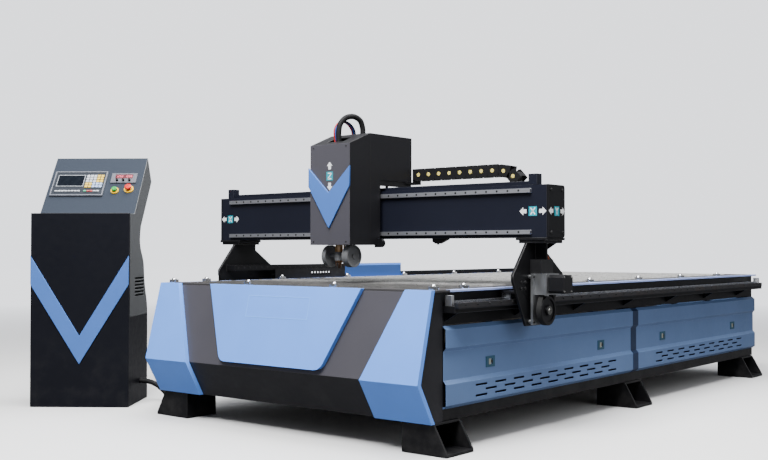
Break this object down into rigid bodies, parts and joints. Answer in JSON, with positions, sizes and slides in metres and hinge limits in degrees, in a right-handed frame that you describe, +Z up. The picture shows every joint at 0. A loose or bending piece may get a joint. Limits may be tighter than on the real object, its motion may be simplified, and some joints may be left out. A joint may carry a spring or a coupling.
{
  "type": "cnc plasma table",
  "caption": "Gantry plasma cutting table with slatted bed, belt-driven rack drives, torch head on a cross beam, drag chains and a free-standing control cabinet.",
  "frame": {"origin": "floor point under the middle of the whole part's box", "axes": "+X to the right across the bed seen from its front, +Y from the front fascia to the rear, +Z up"},
  "size_m": [3.1876, 4.1384, 1.5889],
  "materials": {
    "frame_black": "satin powder coat",
    "panel_blue": "satin powder coat",
    "skirt_blue": "satin powder coat",
    "fascia_grey": "satin powder coat",
    "console_grey": "textured powder coat",
    "cabinet_black": "textured powder coat",
    "beam_navy": "satin powder coat",
    "head_dark": "satin powder coat",
    "rim_steel": "ground plate",
    "slat_steel": "scaled mill steel",
    "rail_steel": "ground",
    "rack_steel": "milled, oiled",
    "ball_chrome": "polished",
    "bracket_aluminium": "milled",
    "motor_black": "satin",
    "chain_plastic": "moulded",
    "belt_rubber": "moulded",
    "latch_teal": "moulded",
    "unit_grey": "moulded",
    "screen_glass": "glossy",
    "key_plastic": "moulded",
    "collar_yellow": "moulded",
    "button_green": "moulded",
    "button_red": "moulded",
    "knob_black": "moulded",
    "holder_black": "black anodised",
    "torch_brass": "turned, heat-stained"
  },
  "bodies": {
    "bed": {"side_beams": "frame_black", "frame_members": "frame_black", "feet": "frame_black", "front_upper_panel": "fascia_grey", "front_lower_panel": "frame_black", "front_covers": "panel_blue", "skirt_panels": "skirt_blue", "panel_latches": "latch_teal", "top_rim": "rim_steel", "slats": "slat_steel", "slat_supports": "slat_steel", "slag_trays": "slat_steel", "rail_ledges": "frame_black", "y_rails": "rail_steel", "y_racks": "rack_steel", "rail_end_stops": "bracket_aluminium", "ball_units": "ball_chrome", "y_chain_tray": "beam_navy", "y_chain": "chain_plastic", "cabinet_base": "cabinet_black", "cabinet_shell": "console_grey", "cabinet_front": "cabinet_black", "cabinet_chevron": "panel_blue", "controller": "unit_grey", "controller_screen": "screen_glass", "controller_keys": "key_plastic", "height_meter": "unit_grey", "button_collars": "collar_yellow", "power_conduit": "belt_rubber"},
    "gantry": {"gantry_beam": "beam_navy", "beam_end_caps": "beam_navy", "beam_guides": "rail_steel", "uprights": "beam_navy", "y_bearing_blocks": "rail_steel", "drive_brackets": "bracket_aluminium", "y_motors": "motor_black", "drive_belts": "belt_rubber", "beam_tray": "beam_navy", "x_chain": "chain_plastic"},
    "right_drive": {"right_pinion_drive": "rack_steel"},
    "left_drive": {"left_pinion_drive": "rack_steel"},
    "right_motor": {"right_motor_pulley": "bracket_aluminium"},
    "left_motor": {"left_motor_pulley": "bracket_aluminium"},
    "head": {"carriage": "head_dark", "carriage_guides": "rail_steel", "head_motors": "motor_black", "head_cover": "head_dark", "head_front_plate": "fascia_grey", "head_chevron": "panel_blue", "head_cables": "belt_rubber"},
    "x_drive": {"x_pinion": "rack_steel"},
    "z_drive": {"z_screw": "rail_steel"},
    "torch_carrier": {"torch_slide": "bracket_aluminium", "torch_holder": "holder_black", "torch": "torch_brass"},
    "start_key": {"start_button": "button_green"},
    "stop_key": {"emergency_stop": "button_red"},
    "knob_1": {"meter_knob_1": "knob_black"},
    "knob_2": {"meter_knob_2": "knob_black"},
    "knob_3": {"meter_knob_3": "knob_black"}
  },
  "joints": [
    {"name": "gantry_travel", "type": "slide", "parent": "bed", "child": "gantry", "axis": [0, 1, 0], "range_m": [-0.4, 2.9], "deforming": ["y_chain"]},
    {"name": "carriage_travel", "type": "slide", "parent": "gantry", "child": "head", "axis": [1, 0, 0], "range_m": [-0.7, 0.7], "deforming": ["x_chain"]},
    {"name": "torch_lift", "type": "slide", "parent": "head", "child": "torch_carrier", "axis": [0, 0, 1], "range_m": [-0.055, 0.1]},
    {"name": "right_pinion_turn", "type": "hinge", "parent": "gantry", "child": "right_drive", "pos_m": [1.50379, -1.10478, 0.601], "axis": [1, 0, 0], "continuous": true},
    {"name": "right_motor_turn", "type": "hinge", "parent": "gantry", "child": "right_motor", "pos_m": [1.50379, -1.10478, 0.725], "axis": [1, 0, 0], "continuous": true},
    {"name": "left_pinion_turn", "type": "hinge", "parent": "gantry", "child": "left_drive", "pos_m": [-0.65621, -1.10478, 0.601], "axis": [1, 0, 0], "continuous": true},
    {"name": "left_motor_turn", "type": "hinge", "parent": "gantry", "child": "left_motor", "pos_m": [-0.65621, -1.10478, 0.725], "axis": [1, 0, 0], "continuous": true},
    {"name": "cross_pinion_turn", "type": "hinge", "parent": "head", "child": "x_drive", "pos_m": [0.42379, -0.98928, 0.941], "axis": [0, 0, 1], "continuous": true},
    {"name": "lift_screw_turn", "type": "hinge", "parent": "head", "child": "z_drive", "pos_m": [0.42379, -1.27278, 0.941], "axis": [0, 0, 1], "continuous": true},
    {"name": "start_press", "type": "slide", "parent": "bed", "child": "start_key", "axis": [-0.4644, 0.6097, -0.6424], "range_m": [0, 0.005], "stiffness_N_per_m": 800},
    {"name": "stop_press", "type": "slide", "parent": "bed", "child": "stop_key", "axis": [-0.4644, 0.6097, -0.6424], "range_m": [0, 0.005], "stiffness_N_per_m": 1500},
    {"name": "knob_1_turn", "type": "hinge", "parent": "bed", "child": "knob_1", "pos_m": [-1.14683, -1.58365, 1.28903], "axis": [0.4644, -0.6097, 0.6424], "range_deg": [-135, 135]},
    {"name": "knob_2_turn", "type": "hinge", "parent": "bed", "child": "knob_2", "pos_m": [-1.1174, -1.56122, 1.28903], "axis": [0.4644, -0.6097, 0.6424], "range_deg": [-135, 135]},
    {"name": "knob_3_turn", "type": "hinge", "parent": "bed", "child": "knob_3", "pos_m": [-1.08797, -1.5388, 1.28903], "axis": [0.4644, -0.6097, 0.6424], "range_deg": [-135, 135]}
  ],
  "couplings": [
    {"joint": "right_pinion_turn", "follows": "gantry_travel", "rad_per_m": 33.333},
    {"joint": "right_motor_turn", "follows": "gantry_travel", "rad_per_m": 116.67},
    {"joint": "left_pinion_turn", "follows": "gantry_travel", "rad_per_m": 33.333},
    {"joint": "left_motor_turn", "follows": "gantry_travel", "rad_per_m": 116.67},
    {"joint": "cross_pinion_turn", "follows": "carriage_travel", "rad_per_m": -44.444},
    {"joint": "lift_screw_turn", "follows": "torch_lift", "rad_per_m": 628.32}
  ]
}
